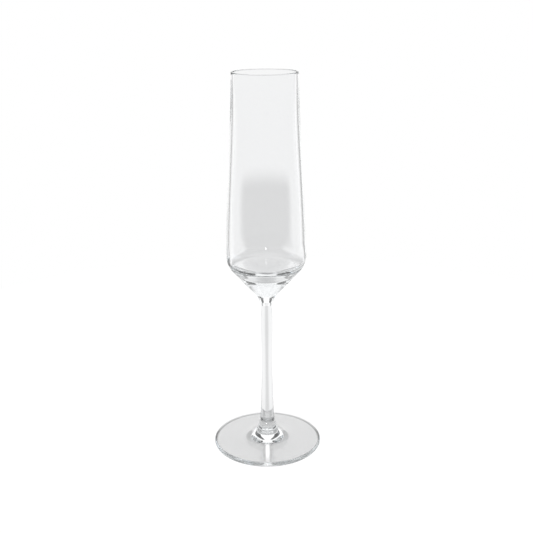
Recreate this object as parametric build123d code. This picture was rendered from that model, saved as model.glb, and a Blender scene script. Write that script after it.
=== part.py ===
from build123d import *
import os

# Champagne flute: a blown bowl, a drawn stem and a spun foot, fused end to end.
# Millimetres, +Z up. The origin is the centre of the foot on the table top.
# Every piece is a body of revolution, so each outline is a half-section in (radius, height).

# Overall heights
total_height = 248.0
stem_weld_height = 101.0
foot_weld_height = 16.0

# Bowl, outside
rim_radius = 20.5
upper_wall = (21.2, 225.0)
lower_wall = (24.4, 165.0)
belly_radius = 25.65
belly_height = 133.0
shoulder_round = 14.0
cone_middle = (12.8, 113.0)
cone_foot = (6.6, 106.0)

# Bowl, inside
lip_thickness = 1.1
upper_thickness = 1.7
lower_thickness = 1.9
belly_thickness = 2.1
cavity_corner_height = 131.0
cavity_round = 5.0
cavity_sweep = 85.0
cavity_floor_height = 122.0

# Stem
stem_top_radius = 4.05
stem_neck = (3.65, 94.0)
stem_waist = (3.42, 62.0)
stem_lower = (4.0, 33.0)
stem_bottom_radius = 4.85

# Foot
foot_radius = 36.0
edge_nose_height = 1.6
edge_low_reach = 1.4
edge_top_reach = 2.0
edge_top_rise = 1.4
foot_shelf = (22.0, 3.5)
foot_fillet = (13.0, 4.7)
foot_skirt = (8.8, 7.0)
foot_collar = (6.2, 11.7)
hollow_radius = 26.0
hollow_depth = 0.9

straight_down = (0, -1)
straight_up = (0, 1)
down_and_in = (-1, -1)


def turned(outline):
    """Spin a closed half-section round the Z axis."""
    return revolve(Plane.XZ * make_face(outline), Axis.Z)


def make_bowl():
    """The tall cup: a thin wall above, and a thick solid base that narrows to the stem."""
    lip_height = total_height - lip_thickness / 2
    rim_outside = (rim_radius, lip_height)
    rim_inside = (rim_radius - lip_thickness, lip_height)
    belly_outside = (belly_radius, belly_height)

    outer_wall = Spline(
        rim_outside, upper_wall, lower_wall, belly_outside,
        tangents=(straight_down, straight_down),
    )
    shoulder = CenterArc((belly_radius - shoulder_round, belly_height), shoulder_round, 0, -45)
    cone = Spline(
        shoulder @ 1, cone_middle, cone_foot, (stem_top_radius, stem_weld_height),
        tangents=(down_and_in, (-0.35, -1)),
    )
    weld = Line(cone @ 1, (0, stem_weld_height))
    axis = Line((0, stem_weld_height), (0, cavity_floor_height))

    cavity_corner = (belly_radius - belly_thickness, cavity_corner_height)
    cavity_shoulder = CenterArc(
        (cavity_corner[0] - cavity_round, cavity_corner_height),
        cavity_round, -cavity_sweep, cavity_sweep,
    )
    cavity_floor = Spline(
        (0, cavity_floor_height), cavity_shoulder @ 0,
        tangents=((1, 0), cavity_shoulder % 0),
    )
    inner_wall = Spline(
        cavity_corner,
        (lower_wall[0] - lower_thickness, lower_wall[1]),
        (upper_wall[0] - upper_thickness, upper_wall[1]),
        rim_inside,
        tangents=(straight_up, straight_up),
    )
    lip = ThreePointArc(rim_inside, (rim_radius - lip_thickness / 2, total_height), rim_outside)
    return turned(
        outer_wall + shoulder + cone + weld + axis
        + cavity_floor + cavity_shoulder + inner_wall + lip
    )


def make_stem():
    """The solid rod, drawn out to a waist and thicker towards the foot."""
    top = (stem_top_radius, stem_weld_height)
    bottom = (stem_bottom_radius, foot_weld_height)
    side = Spline(
        top, stem_neck, stem_waist, stem_lower, bottom,
        tangents=((-0.35, -1), (0.08, -1)),
    )
    bottom_face = Line(bottom, (0, foot_weld_height))
    axis = Line((0, foot_weld_height), (0, stem_weld_height))
    top_face = Line((0, stem_weld_height), top)
    return turned(side + bottom_face + axis + top_face)


def make_foot():
    """The round foot: a flare under the stem, a thin disc and a shallow hollow beneath."""
    neck = (stem_bottom_radius, foot_weld_height)
    hollow_edge = (hollow_radius, 0)
    hollow_top = (0, hollow_depth)

    top_round = EllipticalCenterArc(
        (foot_radius - edge_top_reach, edge_nose_height),
        edge_top_reach, edge_top_rise, start_angle=0, arc_size=90,
    )
    low_round = EllipticalCenterArc(
        (foot_radius - edge_low_reach, edge_nose_height),
        edge_low_reach, edge_nose_height, start_angle=270, arc_size=90,
    )
    upper_face = Spline(
        neck, foot_collar, foot_skirt, foot_fillet, foot_shelf, top_round @ 1,
        tangents=((0.5, -1), (1, -0.05)),
    )
    resting_ring = Line(low_round @ 0, hollow_edge)
    hollow = Spline(hollow_edge, hollow_top, tangents=((-1, 0.02), (-1, 0)))
    axis = Line(hollow_top, (0, foot_weld_height))
    weld = Line((0, foot_weld_height), neck)
    return turned(upper_face + top_round + low_round + resting_ring + hollow + axis + weld)


os.makedirs("parts", exist_ok=True)
export_step(make_bowl(), "parts/bowl.step")
export_step(make_stem(), "parts/stem.step")
export_step(make_foot(), "parts/foot.step")
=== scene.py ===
"""A champagne flute of clear glass on a pale studio floor. Metres, +Z up, the flute's axis is Z."""
import math

import bpy
import numpy as np
from mathutils import Matrix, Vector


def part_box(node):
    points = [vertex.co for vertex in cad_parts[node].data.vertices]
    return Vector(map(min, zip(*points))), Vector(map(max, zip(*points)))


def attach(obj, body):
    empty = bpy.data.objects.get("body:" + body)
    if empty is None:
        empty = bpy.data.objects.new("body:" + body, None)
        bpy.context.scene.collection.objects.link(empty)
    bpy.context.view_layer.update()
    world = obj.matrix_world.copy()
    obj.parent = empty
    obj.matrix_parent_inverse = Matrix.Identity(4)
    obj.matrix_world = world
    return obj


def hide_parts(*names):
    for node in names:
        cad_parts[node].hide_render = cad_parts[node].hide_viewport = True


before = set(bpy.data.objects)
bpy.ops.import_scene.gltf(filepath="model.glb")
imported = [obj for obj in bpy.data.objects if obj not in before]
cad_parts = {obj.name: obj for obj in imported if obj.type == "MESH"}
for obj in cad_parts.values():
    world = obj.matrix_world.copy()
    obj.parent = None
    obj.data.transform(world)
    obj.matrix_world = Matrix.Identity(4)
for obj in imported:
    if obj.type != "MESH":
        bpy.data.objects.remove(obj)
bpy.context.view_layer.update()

MM = 0.001
# Two heights or radii that differ by less than this are the same
TOUCHING = 1e-7

# Heights and widths that come from the frame
foot_low, foot_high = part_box("foot")
bowl_low, bowl_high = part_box("bowl")
TOTAL_HEIGHT = bowl_high.z
STEM_WELD = bowl_low.z
FOOT_WELD = foot_high.z
FOOT_RADIUS = foot_high.x
BELLY_RADIUS = bowl_high.x

# Bowl, outside. A pair is (radius, height).
RIM_RADIUS = 20.5 * MM
UPPER_WALL = (21.2 * MM, 225 * MM)
LOWER_WALL = (24.4 * MM, 165 * MM)
BELLY_HEIGHT = 133 * MM
SHOULDER_ROUND = 14 * MM
SHOULDER_SWEEP = 45
CONE_MIDDLE = (12.8 * MM, 113 * MM)
CONE_FOOT = (6.6 * MM, 106 * MM)

# Bowl, inside
LIP_THICKNESS = 1.1 * MM
UPPER_THICKNESS = 1.7 * MM
LOWER_THICKNESS = 1.9 * MM
BELLY_THICKNESS = 2.1 * MM
CAVITY_CORNER = 131 * MM
CAVITY_ROUND = 5 * MM
CAVITY_FLOOR = 122 * MM
CAVITY_SWEEP = 85

# Unevenness that blowing leaves inside the bowl. A wave is (count round the bowl, share, start).
BASE_UNEVEN = 0.45 * MM
BASE_WAVES = ((3, 0.5, 2.3), (5, 0.35, 2.1), (8, 0.25, 4.0))
WALL_UNEVEN = 0.02 * MM
WALL_WAVES = ((7, 0.6, 1.3), (11, 0.4, 0.4))
EVEN_ABOVE = 143 * MM
UNEVEN_BELOW = 128 * MM

# Stem
STEM_TOP_RADIUS = 4.05 * MM
STEM_NECK = (3.65 * MM, 94 * MM)
STEM_WAIST = (3.42 * MM, 62 * MM)
STEM_LOWER = (4.0 * MM, 33 * MM)
STEM_BOTTOM_RADIUS = 4.85 * MM

# Foot. The edge's two rounds are quarters of ellipses, each with its (reach across, reach up).
EDGE_NOSE_HEIGHT = 1.6 * MM
EDGE_TOP_ROUND = (2.0 * MM, 1.4 * MM)
EDGE_LOW_ROUND = (1.4 * MM, EDGE_NOSE_HEIGHT)
FOOT_SHELF = (22 * MM, 3.5 * MM)
FOOT_FILLET = (13 * MM, 4.7 * MM)
FOOT_SKIRT = (8.8 * MM, 7.0 * MM)
FOOT_COLLAR = (6.2 * MM, 11.7 * MM)
HOLLOW_RADIUS = 26 * MM
HOLLOW_DEPTH = 0.9 * MM

# Directions in which the outlines leave and arrive, as (across, up)
OUTWARDS = (1, 0)
STRAIGHT_UP = (0, 1)
STRAIGHT_DOWN = (0, -1)
DOWN_AND_IN = (-1, -1)
INTO_THE_STEM = (-0.35, -1)
OUT_OF_THE_STEM = (0.35, 1)
UP_THE_STEM = (-0.08, 1)
ALONG_THE_SHELF = (-1, 0.05)
UP_THE_FLARE = (-0.5, 1)
TO_THE_RING = (1, -0.02)

# How finely each stretch of an outline is divided, and each piece round its axis
WALL_STEPS = 90
CONE_STEPS = 60
ROUND_STEPS = 40
EDGE_STEPS = 16
STEM_STEPS = 140
FLARE_STEPS = 130
RING_STEPS = 6
WELD_STEPS = 4
BOWL_SEGMENTS = 256
STEM_SEGMENTS = 160
FOOT_SEGMENTS = 256


# ---------------------------------------------------------------- outlines

def smooth_curve(points, start_slope, end_slope, steps):
    """A smooth curve through the points, leaving and arriving along the given directions."""
    points = np.array(points, float)
    knots = np.concatenate([[0], np.cumsum(np.linalg.norm(np.diff(points, axis=0), axis=1))])
    gaps = np.diff(knots)
    count = len(points)
    system = np.zeros((count, count))
    wanted = np.zeros((count, 2))
    system[0, 0] = system[-1, -1] = 1
    wanted[0] = np.array(start_slope) / np.linalg.norm(start_slope)
    wanted[-1] = np.array(end_slope) / np.linalg.norm(end_slope)
    chords = np.diff(points, axis=0) / gaps[:, None]
    for i in range(1, count - 1):
        system[i, i - 1] = gaps[i]
        system[i, i] = 2 * (gaps[i - 1] + gaps[i])
        system[i, i + 1] = gaps[i - 1]
        wanted[i] = 3 * (gaps[i] * chords[i - 1] + gaps[i - 1] * chords[i])
    slopes = np.linalg.solve(system, wanted)
    curve = []
    for along in np.linspace(0, knots[-1], steps + 1):
        i = min(np.searchsorted(knots, along, side="right") - 1, count - 2)
        t = (along - knots[i]) / gaps[i]
        h = gaps[i]
        curve.append(
            (2 * t**3 - 3 * t**2 + 1) * points[i] + (t**3 - 2 * t**2 + t) * h * slopes[i]
            + (3 * t**2 - 2 * t**3) * points[i + 1] + (t**3 - t**2) * h * slopes[i + 1]
        )
    return [tuple(p) for p in curve]


def oval_arc(centre, reach, start, end, steps):
    """Part of an ellipse with the given reach across and up, between two angles in degrees."""
    angles = np.radians(np.linspace(start, end, steps + 1))
    return [(centre[0] + reach[0] * math.cos(a), centre[1] + reach[1] * math.sin(a)) for a in angles]


def arc(centre, radius, start, end, steps):
    """A round stretch from one angle to the other, in degrees."""
    return oval_arc(centre, (radius, radius), start, end, steps)


def straight(start, end, steps):
    """A straight stretch, divided evenly."""
    start = np.array(start)
    way = np.array(end) - start
    return [tuple(start + way * i / steps) for i in range(steps + 1)]


def joined(*stretches):
    """One outline from several stretches that meet end to end."""
    outline = list(stretches[0])
    for stretch in stretches[1:]:
        outline += stretch[1:]
    return outline


def bowl_outside():
    """From the axis at the weld, up the cone and the wall, and over the lip."""
    lip_radius = LIP_THICKNESS / 2
    lip_height = TOTAL_HEIGHT - lip_radius
    wall = smooth_curve(
        [(RIM_RADIUS, lip_height), UPPER_WALL, LOWER_WALL, (BELLY_RADIUS, BELLY_HEIGHT)],
        STRAIGHT_DOWN, STRAIGHT_DOWN, WALL_STEPS)
    shoulder_centre = (BELLY_RADIUS - SHOULDER_ROUND, BELLY_HEIGHT)
    shoulder = arc(shoulder_centre, SHOULDER_ROUND, 0, -SHOULDER_SWEEP, ROUND_STEPS)
    cone = smooth_curve(
        [shoulder[-1], CONE_MIDDLE, CONE_FOOT, (STEM_TOP_RADIUS, STEM_WELD)],
        DOWN_AND_IN, INTO_THE_STEM, CONE_STEPS)
    lip = arc((RIM_RADIUS - lip_radius, lip_height), lip_radius, 180, 0, EDGE_STEPS)
    weld = straight((0, STEM_WELD), (STEM_TOP_RADIUS, STEM_WELD), WELD_STEPS)
    return joined(weld, cone[::-1], shoulder[::-1], wall[::-1], lip[::-1])


def bowl_inside():
    """From the lip down the wall, round the cavity's corner and along its floor to the axis."""
    lip_height = TOTAL_HEIGHT - LIP_THICKNESS / 2
    corner_centre = (BELLY_RADIUS - BELLY_THICKNESS - CAVITY_ROUND, CAVITY_CORNER)
    corner = arc(corner_centre, CAVITY_ROUND, -CAVITY_SWEEP, 0, ROUND_STEPS)
    sweep = math.radians(CAVITY_SWEEP)
    cavity_floor = smooth_curve(
        [(0, CAVITY_FLOOR), corner[0]],
        OUTWARDS, (math.sin(sweep), math.cos(sweep)), ROUND_STEPS)
    wall = smooth_curve(
        [corner[-1],
         (LOWER_WALL[0] - LOWER_THICKNESS, LOWER_WALL[1]),
         (UPPER_WALL[0] - UPPER_THICKNESS, UPPER_WALL[1]),
         (RIM_RADIUS - LIP_THICKNESS, lip_height)],
        STRAIGHT_UP, STRAIGHT_UP, WALL_STEPS)
    return joined(cavity_floor, corner, wall)[::-1]


def stem_outline():
    """From the axis at the foot's weld, up the side, and back to the axis at the bowl's weld."""
    side = smooth_curve(
        [(STEM_BOTTOM_RADIUS, FOOT_WELD), STEM_LOWER, STEM_WAIST, STEM_NECK,
         (STEM_TOP_RADIUS, STEM_WELD)],
        UP_THE_STEM, OUT_OF_THE_STEM, STEM_STEPS)
    bottom = straight((0, FOOT_WELD), side[0], WELD_STEPS)
    top = straight(side[-1], (0, STEM_WELD), WELD_STEPS)
    return joined(bottom, side, top)


def foot_outline():
    """From the axis under the foot, out to its edge, over the edge and in to the weld."""
    hollow = smooth_curve([(0, HOLLOW_DEPTH), (HOLLOW_RADIUS, 0)], OUTWARDS, TO_THE_RING, ROUND_STEPS)
    low_centre = (FOOT_RADIUS - EDGE_LOW_ROUND[0], EDGE_NOSE_HEIGHT)
    top_centre = (FOOT_RADIUS - EDGE_TOP_ROUND[0], EDGE_NOSE_HEIGHT)
    low_round = oval_arc(low_centre, EDGE_LOW_ROUND, -90, 0, EDGE_STEPS)
    top_round = oval_arc(top_centre, EDGE_TOP_ROUND, 0, 90, EDGE_STEPS)
    ring = straight((HOLLOW_RADIUS, 0), low_round[0], RING_STEPS)
    neck = (STEM_BOTTOM_RADIUS, FOOT_WELD)
    upper = smooth_curve(
        [top_round[-1], FOOT_SHELF, FOOT_FILLET, FOOT_SKIRT, FOOT_COLLAR, neck],
        ALONG_THE_SHELF, UP_THE_FLARE, FLARE_STEPS)
    weld = straight(neck, (0, FOOT_WELD), WELD_STEPS)
    return joined(hollow, ring, low_round, top_round, upper, weld)


# ---------------------------------------------------------------- meshes

def waves(turn, kinds):
    return sum(share * math.sin(count * turn + start) for count, share, start in kinds)


def uneven_inside(radius, height, turn):
    """A point of the bowl's inside, moved as the blown glass is: more near the bottom."""
    low = min(max((EVEN_ABOVE - height) / (EVEN_ABOVE - UNEVEN_BELOW), 0), 1)
    base = low**2 * (3 - 2 * low) * BASE_UNEVEN * waves(turn, BASE_WAVES)
    wall = WALL_UNEVEN * waves(turn, WALL_WAVES)
    outwards = min(radius / BELLY_RADIUS, 1)**2
    return radius + (base + wall) * outwards, height + base * outwards


def spun_points(outline, rings, segments, uneven_from):
    """The outline's start on the axis, every ring of points, and the outline's end on the axis."""
    points = [(0, 0, outline[0][1])]
    for place, (radius, height) in enumerate(rings):
        for k in range(segments):
            turn = 2 * math.pi * k / segments
            across, up = radius, height
            if uneven_from is not None and place >= uneven_from:
                across, up = uneven_inside(radius, height, turn)
            points.append((across * math.cos(turn), across * math.sin(turn), up))
    points.append((0, 0, outline[-1][1]))
    return points


def spun_faces(ring_count, segments):
    """Fans at both ends of the axis, and a quad between each two neighbours on two rings."""
    faces = []
    last_ring = 1 + (ring_count - 1) * segments
    last_point = last_ring + segments
    for k in range(segments):
        after = (k + 1) % segments
        faces.append((0, 1 + after, 1 + k))
        for ring in range(ring_count - 1):
            low = 1 + ring * segments
            high = low + segments
            faces.append((low + k, low + after, high + after, high + k))
        faces.append((last_ring + k, last_ring + after, last_point))
    return faces


def turned(name, outline, weld_heights, segments, glass, weld, uneven_from=None):
    """Spin an outline, which runs from axis to axis, into a closed mesh.

    The rings from number uneven_from on are the bowl's inside.
    """
    rings = [p for p in outline if p[0] > TOUCHING]
    points = spun_points(outline, rings, segments, uneven_from)
    mesh = bpy.data.meshes.new(name)
    mesh.from_pydata(points, [], spun_faces(len(rings), segments))
    mesh.materials.append(glass)
    mesh.materials.append(weld)
    for face in mesh.polygons:
        face.use_smooth = True
        heights = [mesh.vertices[v].co.z for v in face.vertices]
        at_weld = [all(abs(z - w) < TOUCHING for z in heights) for w in weld_heights]
        face.material_index = int(any(at_weld))
    mesh.update()
    mark_sharp_rings(mesh)
    piece = bpy.data.objects.new(name, mesh)
    bpy.context.collection.objects.link(piece)
    return piece


def mark_sharp_rings(mesh):
    """The edge between a weld disc and the side is the only sharp one."""
    kinds = {}
    for face in mesh.polygons:
        for key in face.edge_keys:
            kinds.setdefault(key, set()).add(face.material_index)
    sharp = [len(kinds[tuple(sorted(e.vertices))]) > 1 for e in mesh.edges]
    mesh.attributes.new("sharp_edge", "BOOLEAN", "EDGE").data.foreach_set("value", sharp)


# ---------------------------------------------------------------- nodes

DEGREES = 180 / math.pi


def new_material(name):
    material = bpy.data.materials.new(name)
    material.use_nodes = True
    material.node_tree.nodes.clear()
    return material


def add(tree, kind, **settings):
    node = tree.nodes.new(kind)
    for key, value in settings.items():
        setattr(node, key, value)
    return node


def feed(tree, socket, value):
    """Give a socket a number, or link another node's output to it."""
    if isinstance(value, (int, float)):
        socket.default_value = value
    else:
        tree.links.new(value, socket)


def math_node(tree, operation, first, second=None):
    node = add(tree, "ShaderNodeMath", operation=operation)
    for socket, value in zip(node.inputs, (first, second)):
        if value is not None:
            feed(tree, socket, value)
    return node.outputs[0]


def rising(tree, value, low, high):
    """0 below low, 1 above high, smooth between."""
    node = add(tree, "ShaderNodeMapRange", interpolation_type="SMOOTHSTEP")
    tree.links.new(value, node.inputs["Value"])
    node.inputs["From Min"].default_value = low
    node.inputs["From Max"].default_value = high
    return node.outputs[0]


def falling(tree, value, low, high):
    """1 below low, 0 above high, smooth between."""
    return math_node(tree, "SUBTRACT", 1.0, rising(tree, value, low, high))


def near(tree, value, centre, half_width, softness):
    """1 where value is within half_width of the centre, then falling to 0."""
    offset = math_node(tree, "ABSOLUTE", math_node(tree, "SUBTRACT", value, centre))
    return falling(tree, offset, half_width, half_width + softness)


def blend(tree, share, low, high):
    """low where share is 0, high where share is 1; each may be a number or a socket."""
    node = add(tree, "ShaderNodeMix", data_type="FLOAT")
    for socket, value in zip((node.inputs[0], node.inputs[2], node.inputs[3]), (share, low, high)):
        feed(tree, socket, value)
    return node.outputs[0]


def azimuth_of(tree, split):
    """The direction round the flute in degrees: 0 is straight behind it, 180 is in front."""
    turn = math_node(tree, "ARCTAN2", split.outputs["X"], split.outputs["Y"])
    return math_node(tree, "MULTIPLY", turn, DEGREES)


# ---------------------------------------------------------------- flute

GLASS_TINT = (0.97, 0.972, 0.975, 1)
GLASS_IOR = 1.52
# Clear glass takes a little grey from light that crosses a lot of it
GLASS_BODY = (0.50, 0.53, 0.54, 1)
GLASS_BODY_DENSITY = 12


def finish_glass(tree, surface):
    """Join a surface shader and the body of the glass to the material's output."""
    body = add(tree, "ShaderNodeVolumeAbsorption")
    body.inputs["Color"].default_value = GLASS_BODY
    body.inputs["Density"].default_value = GLASS_BODY_DENSITY
    output = add(tree, "ShaderNodeOutputMaterial")
    tree.links.new(surface.outputs[0], output.inputs["Surface"])
    tree.links.new(body.outputs[0], output.inputs["Volume"])


def glass_material():
    """Fire-polished clear glass."""
    material = new_material("clear_glass")
    shader = add(material.node_tree, "ShaderNodeBsdfPrincipled")
    shader.inputs["Base Color"].default_value = GLASS_TINT
    shader.inputs["Roughness"].default_value = 0.0
    shader.inputs["IOR"].default_value = GLASS_IOR
    shader.inputs["Transmission Weight"].default_value = 1.0
    finish_glass(material.node_tree, shader)
    return material


def weld_material():
    """The weld faces are fused, so light crosses them without bending."""
    material = new_material("fused_weld")
    clear = add(material.node_tree, "ShaderNodeBsdfTransparent")
    finish_glass(material.node_tree, clear)
    return material


def make_flute():
    glass = glass_material()
    weld = weld_material()
    outside = bowl_outside()
    inside_from = sum(point[0] > TOUCHING for point in outside)
    bowl = turned("blown_bowl", joined(outside, bowl_inside()), (STEM_WELD,), BOWL_SEGMENTS,
                  glass, weld, inside_from)
    stem = turned("drawn_stem", stem_outline(), (STEM_WELD, FOOT_WELD), STEM_SEGMENTS, glass, weld)
    foot = turned("spun_foot", foot_outline(), (FOOT_WELD,), FOOT_SEGMENTS, glass, weld)
    for piece, node in ((bowl, "bowl"), (stem, "stem"), (foot, "foot")):
        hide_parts(node)
        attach(piece, "root")


# ---------------------------------------------------------------- room

# The camera sees plain white behind the flute. The glass sees this room instead. Angles are in
# degrees: azimuth 0 is straight behind the flute, and elevation 0 is the horizon. What stands at
# an azimuth stands at both sides, left and right, apart from the small lights. A pair of angles
# is where a change starts and ends.
PAPER = (1.0, 1.0, 1.0)
DAYLIGHT = (0.72, 0.86, 1.0)

# The back of the room gives way to its front between these azimuths
BACK_EDGE = (60, 85)

# Low down are white screens, up to this elevation. At each side of the back there is a brighter
# strip and a grey gap, each as (azimuth, half width, softness). The gaps end some way down.
SCREEN_TOP = (3, 9)
SCREEN_GLOW = 0.96
FRONT_SCREEN_GLOW = 0.95
STRIPS = (20, 5, 6)
STRIP_GLOW = 1.12
GAPS = (34, 3, 5)
GAP_BOTTOM = (-21.5, -16.5)
GAP_GLOW = 0.42

# A soft grey shape far behind the flute, lower than its bowl: (half width, softness), and its top
GREY_SHAPE = (3.8, 3.5)
GREY_SHAPE_TOP = (-12.6, -10.8)
GREY_SHAPE_GLOW = 0.73

# Above the screens the back wall is bright, with a dark bar at each side. The front walls are as
# light as the front screens at first, and dark higher up.
BACK_GLOW = 1.35
DARK_BARS = (26, 9, 3)
BAR_GLOW = 0.16
FRONT_SCREEN_TOP = (16, 24)
FRONT_GLOW = 0.12

# The ceiling light starts at this elevation
CEILING_EDGE = (54, 62)
CEILING_GLOW = 1.3

# Small lights: name, azimuth, half width, low and high elevation, softness, colour, strength
LIGHTS = (
    ("window_right", 62, 10, 8, 38, 3, DAYLIGHT, 1.1),
    ("window_left", -78, 8, 10, 42, 3, DAYLIGHT, 0.9),
    ("front_lamp", 180, 1.8, 12.5, 15.5, 0.4, PAPER, 60),
)


def light_mask(tree, azimuth, elevation, centre, half_width, low, high, softness):
    """1 inside a small light, 0 outside it."""
    half_soft = softness / 2
    offset = math_node(tree, "SUBTRACT", azimuth, centre)
    wrapped = math_node(tree, "PINGPONG", offset, 180.0)
    sideways = falling(tree, wrapped, half_width - half_soft, half_width + half_soft)
    above = rising(tree, elevation, low - half_soft, low + half_soft)
    below = falling(tree, elevation, high - half_soft, high + half_soft)
    return math_node(tree, "MULTIPLY", sideways, math_node(tree, "MULTIPLY", above, below))


def screens_brightness(tree, around, front, elevation):
    """The low part of the room."""
    screens = blend(tree, near(tree, around, *STRIPS), SCREEN_GLOW, STRIP_GLOW)
    screens = blend(tree, front, screens, FRONT_SCREEN_GLOW)
    above_bottom = rising(tree, elevation, *GAP_BOTTOM)
    gaps = math_node(tree, "MULTIPLY", near(tree, around, *GAPS), above_bottom)
    screens = blend(tree, gaps, screens, GAP_GLOW)
    beside = falling(tree, around, GREY_SHAPE[0], sum(GREY_SHAPE))
    below_top = falling(tree, elevation, *GREY_SHAPE_TOP)
    grey_shape = math_node(tree, "MULTIPLY", beside, below_top)
    return blend(tree, grey_shape, screens, GREY_SHAPE_GLOW)


def walls_brightness(tree, around, front, elevation):
    """The walls above the screens, and the ceiling."""
    high_up = rising(tree, elevation, *FRONT_SCREEN_TOP)
    front_walls = blend(tree, high_up, FRONT_SCREEN_GLOW, FRONT_GLOW)
    walls = blend(tree, front, BACK_GLOW, front_walls)
    walls = blend(tree, near(tree, around, *DARK_BARS), walls, BAR_GLOW)
    return blend(tree, rising(tree, elevation, *CEILING_EDGE), walls, CEILING_GLOW)


def room_brightness(tree, azimuth, elevation):
    around = math_node(tree, "ABSOLUTE", azimuth)
    front = rising(tree, around, *BACK_EDGE)
    screens = screens_brightness(tree, around, front, elevation)
    walls = walls_brightness(tree, around, front, elevation)
    return blend(tree, rising(tree, elevation, *SCREEN_TOP), screens, walls)


def background(tree, colour, strength):
    """A background shader, with a number or a socket for its strength."""
    shader = add(tree, "ShaderNodeBackground")
    shader.inputs["Color"].default_value = (*colour, 1)
    feed(tree, shader.inputs["Strength"], strength)
    return shader


def make_world():
    world = bpy.data.worlds.new("studio")
    bpy.context.scene.world = world
    world.use_nodes = True
    tree = world.node_tree
    tree.nodes.clear()
    coords = add(tree, "ShaderNodeTexCoord")
    split = add(tree, "ShaderNodeSeparateXYZ")
    tree.links.new(coords.outputs["Generated"], split.inputs[0])
    azimuth = azimuth_of(tree, split)
    rise = math_node(tree, "ARCSINE", split.outputs["Z"])
    elevation = math_node(tree, "MULTIPLY", rise, DEGREES)
    lit = background(tree, PAPER, room_brightness(tree, azimuth, elevation)).outputs[0]
    for name, centre, half_width, low, high, softness, colour, strength in LIGHTS:
        mask = light_mask(tree, azimuth, elevation, centre, half_width, low, high, softness)
        light = background(tree, colour, math_node(tree, "MULTIPLY", mask, strength))
        light.label = name
        both = add(tree, "ShaderNodeAddShader")
        tree.links.new(lit, both.inputs[0])
        tree.links.new(light.outputs[0], both.inputs[1])
        lit = both.outputs[0]
    backdrop = background(tree, PAPER, 1.0)
    path = add(tree, "ShaderNodeLightPath")
    shown = add(tree, "ShaderNodeMixShader")
    tree.links.new(path.outputs["Is Camera Ray"], shown.inputs[0])
    tree.links.new(lit, shown.inputs[1])
    tree.links.new(backdrop.outputs[0], shown.inputs[2])
    output = add(tree, "ShaderNodeOutputWorld")
    tree.links.new(shown.outputs[0], output.inputs["Surface"])


# ---------------------------------------------------------------- floor

FLOOR_BELOW = 0.1 * MM
FLOOR_RADIUS = 0.42
FLOOR_SIDES = 96
FLOOR_ALBEDO = 0.15

# The floor glows. The camera sees it bleached to at least this.
BLEACHED_GLOW = 0.95
# The glass sees this, and a painted shade behind the flute, standing in for the stem's shadow, that
# ends between two azimuths in degrees
FLOOR_GLOW = 0.87
PAINTED_SHADE_GLOW = 0.64
PAINTED_SHADE_EDGE = (5, 19)

# Marks that stand in for the shade and the line of light that the flute would cast: the floor
# under the foot, a dark ring near its edge between two radii, and a line in front of the stem
PAINTED_SHADE_UNDER_FOOT = 0.58
UNDER_FOOT_FADE = 0.5 * MM
CONTACT_RING = (33.8 * MM, 35.2 * MM)
CONTACT_FADE = 0.6 * MM
PAINTED_CONTACT_SHADOW = 0.15
PAINTED_LINE_GLOW = 0.6
LINE_HALF_WIDTH = (0.5 * MM, 1.8 * MM)
LINE_NEAR_END = (-10 * MM, -4 * MM)
LINE_FAR_END = (-40 * MM, -16 * MM)


def floor_glow_with_painted_shade(tree, split, reach):
    """The glow of the floor, with painted shade behind the flute, painted shade under its foot and a
    painted contact shadow ring near its edge.
    """
    around = math_node(tree, "ABSOLUTE", azimuth_of(tree, split))
    # Painted shade: the floor's glow is lower behind the flute, as if in the stem's shadow
    behind = falling(tree, around, *PAINTED_SHADE_EDGE)
    glow_with_painted_shade = blend(tree, behind, FLOOR_GLOW, PAINTED_SHADE_GLOW)
    # Painted shade: the floor's glow is lower under the foot, as if shaded by the glass
    past_painted_foot_shade = rising(tree, reach, FOOT_RADIUS - UNDER_FOOT_FADE, FOOT_RADIUS)
    glow = blend(tree, past_painted_foot_shade, PAINTED_SHADE_UNDER_FOOT, glow_with_painted_shade)
    # A painted contact shadow: a dark ring in the floor's glow near the foot's edge
    painted_shadow_ring_out = falling(tree, reach, CONTACT_RING[1] - CONTACT_FADE, CONTACT_RING[1])
    painted_shadow_ring_in = rising(tree, reach, CONTACT_RING[0], CONTACT_RING[0] + CONTACT_FADE)
    return blend(tree, math_node(tree, "MULTIPLY", painted_shadow_ring_out, painted_shadow_ring_in), glow, PAINTED_CONTACT_SHADOW)


def painted_line_of_light(tree, split):
    """A painted line of light on the floor in front of the stem, standing in for light the stem would
    focus there.
    """
    beside = falling(tree, math_node(tree, "ABSOLUTE", split.outputs["X"]), *LINE_HALF_WIDTH)
    in_front = falling(tree, split.outputs["Y"], *LINE_NEAR_END)
    fading = rising(tree, split.outputs["Y"], *LINE_FAR_END)
    line = math_node(tree, "MULTIPLY", math_node(tree, "MULTIPLY", beside, in_front), PAINTED_LINE_GLOW)
    return math_node(tree, "MULTIPLY", line, fading)


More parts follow.
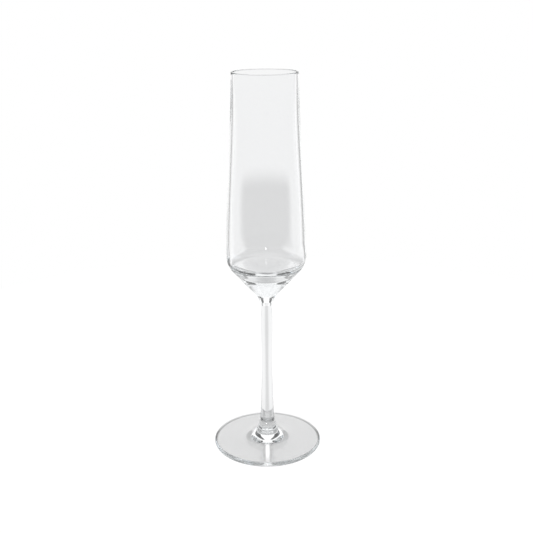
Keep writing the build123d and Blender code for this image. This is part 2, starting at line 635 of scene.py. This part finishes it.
def floor_material():
    """White paper that glows: its glow carries painted shade behind and under the flute, a painted
    contact shadow and a painted line of light.
    """
    material = new_material("pale_floor")
    tree = material.node_tree
    paper = add(tree, "ShaderNodeBsdfDiffuse")
    paper.inputs["Color"].default_value = (FLOOR_ALBEDO, FLOOR_ALBEDO, FLOOR_ALBEDO, 1)
    coords = add(tree, "ShaderNodeTexCoord")
    split = add(tree, "ShaderNodeSeparateXYZ")
    tree.links.new(coords.outputs["Object"], split.inputs[0])
    reach = add(tree, "ShaderNodeVectorMath", operation="LENGTH")
    tree.links.new(coords.outputs["Object"], reach.inputs[0])
    glow_with_painted_marks = math_node(tree, "ADD", floor_glow_with_painted_shade(tree, split, reach.outputs["Value"]),
                       painted_line_of_light(tree, split))
    path = add(tree, "ShaderNodeLightPath")
    bleached = math_node(tree, "MULTIPLY", path.outputs["Is Camera Ray"], BLEACHED_GLOW)
    glow = add(tree, "ShaderNodeEmission")
    tree.links.new(math_node(tree, "MAXIMUM", glow_with_painted_marks, bleached), glow.inputs["Strength"])
    both = add(tree, "ShaderNodeAddShader")
    tree.links.new(paper.outputs[0], both.inputs[0])
    tree.links.new(glow.outputs[0], both.inputs[1])
    output = add(tree, "ShaderNodeOutputMaterial")
    tree.links.new(both.outputs[0], output.inputs["Surface"])
    return material


def make_floor():
    rim = []
    for side in range(FLOOR_SIDES):
        turn = 2 * math.pi * side / FLOOR_SIDES
        rim.append((FLOOR_RADIUS * math.cos(turn), FLOOR_RADIUS * math.sin(turn), -FLOOR_BELOW))
    mesh = bpy.data.meshes.new("floor")
    mesh.from_pydata(rim, [], [range(FLOOR_SIDES)])
    mesh.materials.append(floor_material())
    floor = bpy.data.objects.new("floor", mesh)
    bpy.context.collection.objects.link(floor)


# ---------------------------------------------------------------- camera and look

CAMERA_LENS = 57.63
CAMERA_PLACE = (0.0002, -0.5217, 0.295)
# Degrees that the camera looks down by, and that it leans by
CAMERA_DIP = 18.02
CAMERA_LEAN = -0.454
# Light crosses the thin walls at a slant many times, so the glass needs many bounces
GLASS_BOUNCES = 200
TRANSPARENT_BOUNCES = 64


def make_camera():
    data = bpy.data.cameras.new("camera")
    data.lens = CAMERA_LENS
    camera = bpy.data.objects.new("camera", data)
    camera.location = CAMERA_PLACE
    tilt = Matrix.Rotation(math.radians(90 - CAMERA_DIP), 4, "X")
    lean = Matrix.Rotation(math.radians(CAMERA_LEAN), 4, "Z")
    camera.matrix_world = Matrix.Translation(camera.location) @ tilt @ lean
    bpy.context.collection.objects.link(camera)
    bpy.context.scene.camera = camera


def set_look():
    scene = bpy.context.scene
    scene.view_settings.view_transform = "Standard"
    scene.cycles.max_bounces = GLASS_BOUNCES
    scene.cycles.transmission_bounces = GLASS_BOUNCES
    scene.cycles.glossy_bounces = GLASS_BOUNCES
    scene.cycles.transparent_max_bounces = TRANSPARENT_BOUNCES
    scene.cycles.use_denoising = True


make_flute()
make_camera()
make_floor()
make_world()
set_look()
